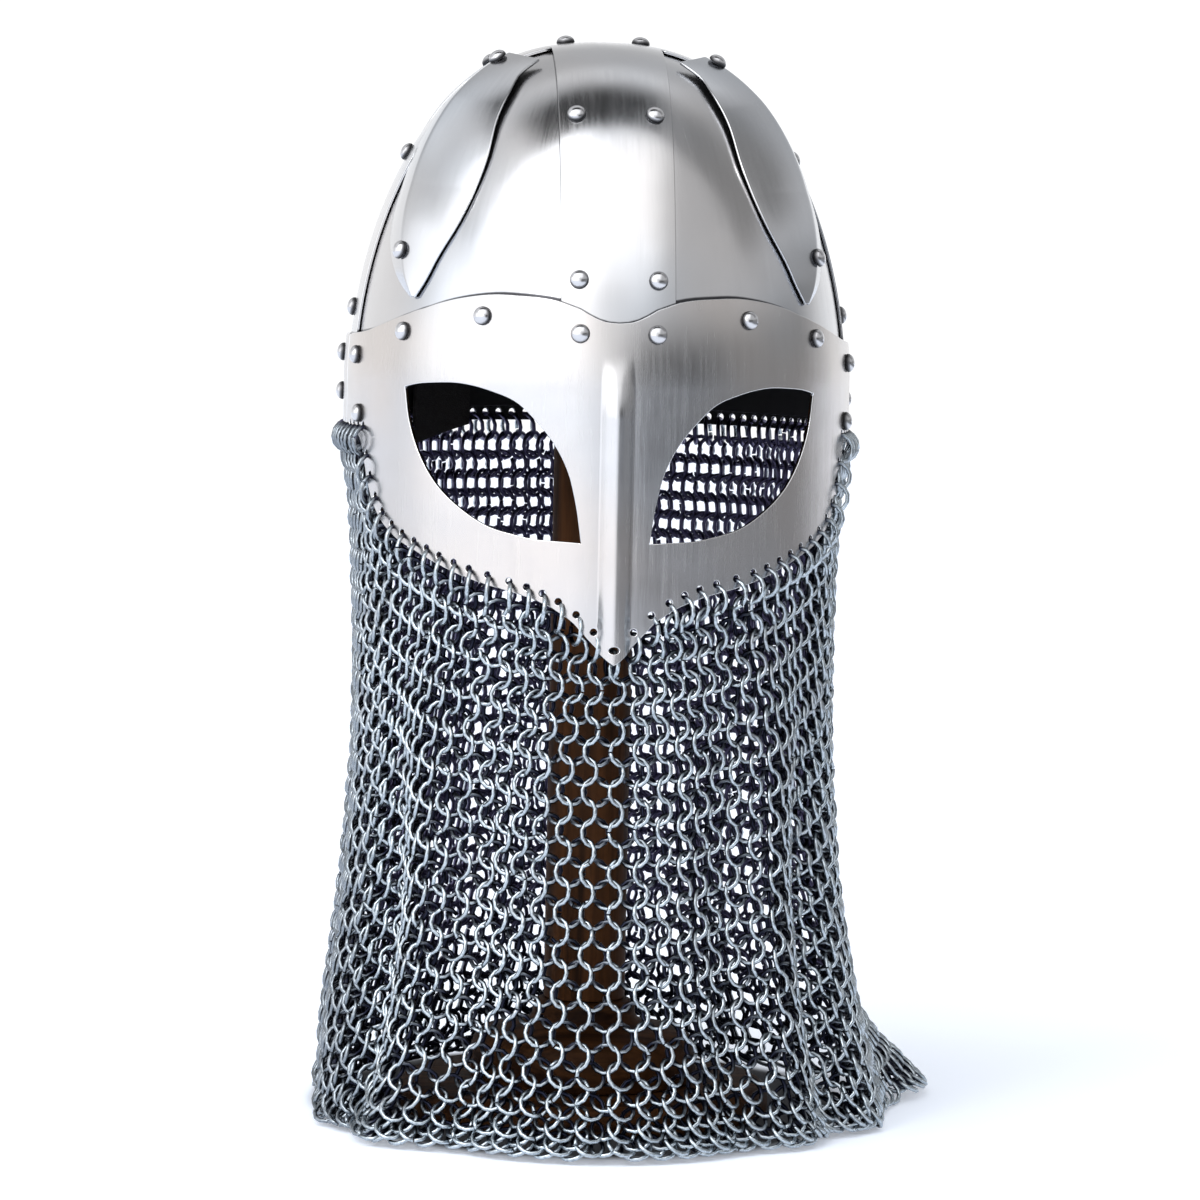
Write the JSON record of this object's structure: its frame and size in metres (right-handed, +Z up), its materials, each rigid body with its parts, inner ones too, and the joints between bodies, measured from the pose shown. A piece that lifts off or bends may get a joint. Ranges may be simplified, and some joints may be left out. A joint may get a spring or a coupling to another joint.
{
  "type": "viking spectacle helmet with mail aventail on wooden stand",
  "caption": "Riveted steel helmet with ridge bands, leaf plates, a spectacle visor and a mail curtain all round, on a turned wooden stand.",
  "frame": {"origin": "centre of the stand's round underside, on the floor under the post's axis", "axes": "+Z up along the post, the helmet faces -Y, +X is to the right when the face is looked at"},
  "size_m": [0.2616, 0.2735, 0.4375],
  "materials": {
    "plate_steel": "satin brushed steel",
    "rivet_steel": "polished domed heads",
    "mail": "dull grey galvanised wire",
    "wood": "brown stained wood",
    "leather": "black leather"
  },
  "bodies": {
    "root": {"brow_band": "plate_steel", "brow_rivet_back_left": "rivet_steel", "brow_rivet_back_right": "rivet_steel", "brow_rivet_left_1": "rivet_steel", "brow_rivet_left_2": "rivet_steel", "brow_rivet_right_1": "rivet_steel", "brow_rivet_right_2": "rivet_steel", "crown_rivet_left": "rivet_steel", "crown_rivet_right": "rivet_steel", "leaf_plate_front_left": "plate_steel", "leaf_plate_front_right": "plate_steel", "leaf_plate_rear_left": "plate_steel", "leaf_plate_rear_right": "plate_steel", "leaf_rivet_front_left_1": "rivet_steel", "leaf_rivet_front_left_2": "rivet_steel", "leaf_rivet_front_right_1": "rivet_steel", "leaf_rivet_front_right_2": "rivet_steel", "leaf_rivet_rear_left_1": "rivet_steel", "leaf_rivet_rear_left_2": "rivet_steel", "leaf_rivet_rear_right_1": "rivet_steel", "leaf_rivet_rear_right_2": "rivet_steel", "leather_tab": "leather", "mail_aventail": "mail", "ridge_band": "plate_steel", "ridge_rivet_front_left_1": "rivet_steel", "ridge_rivet_front_left_2": "rivet_steel", "ridge_rivet_front_right_1": "rivet_steel", "ridge_rivet_front_right_2": "rivet_steel", "ridge_rivet_rear_left_1": "rivet_steel", "ridge_rivet_rear_left_2": "rivet_steel", "ridge_rivet_rear_right_1": "rivet_steel", "ridge_rivet_rear_right_2": "rivet_steel", "side_band_left": "plate_steel", "side_band_right": "plate_steel", "side_rivet_left_1": "rivet_steel", "side_rivet_left_2": "rivet_steel", "side_rivet_right_1": "rivet_steel", "side_rivet_right_2": "rivet_steel", "skull_plate_front_left": "plate_steel", "skull_plate_front_right": "plate_steel", "skull_plate_rear_left": "plate_steel", "skull_plate_rear_right": "plate_steel", "stand_base": "wood", "stand_foot": "wood", "stand_head": "wood", "stand_post": "wood", "visor": "plate_steel", "visor_rivet_left_1": "rivet_steel", "visor_rivet_left_2": "rivet_steel", "visor_rivet_left_3": "rivet_steel", "visor_rivet_left_4": "rivet_steel", "visor_rivet_left_5": "rivet_steel", "visor_rivet_right_1": "rivet_steel", "visor_rivet_right_2": "rivet_steel", "visor_rivet_right_3": "rivet_steel", "visor_rivet_right_4": "rivet_steel", "visor_rivet_right_5": "rivet_steel"}
  },
  "joints": []
}
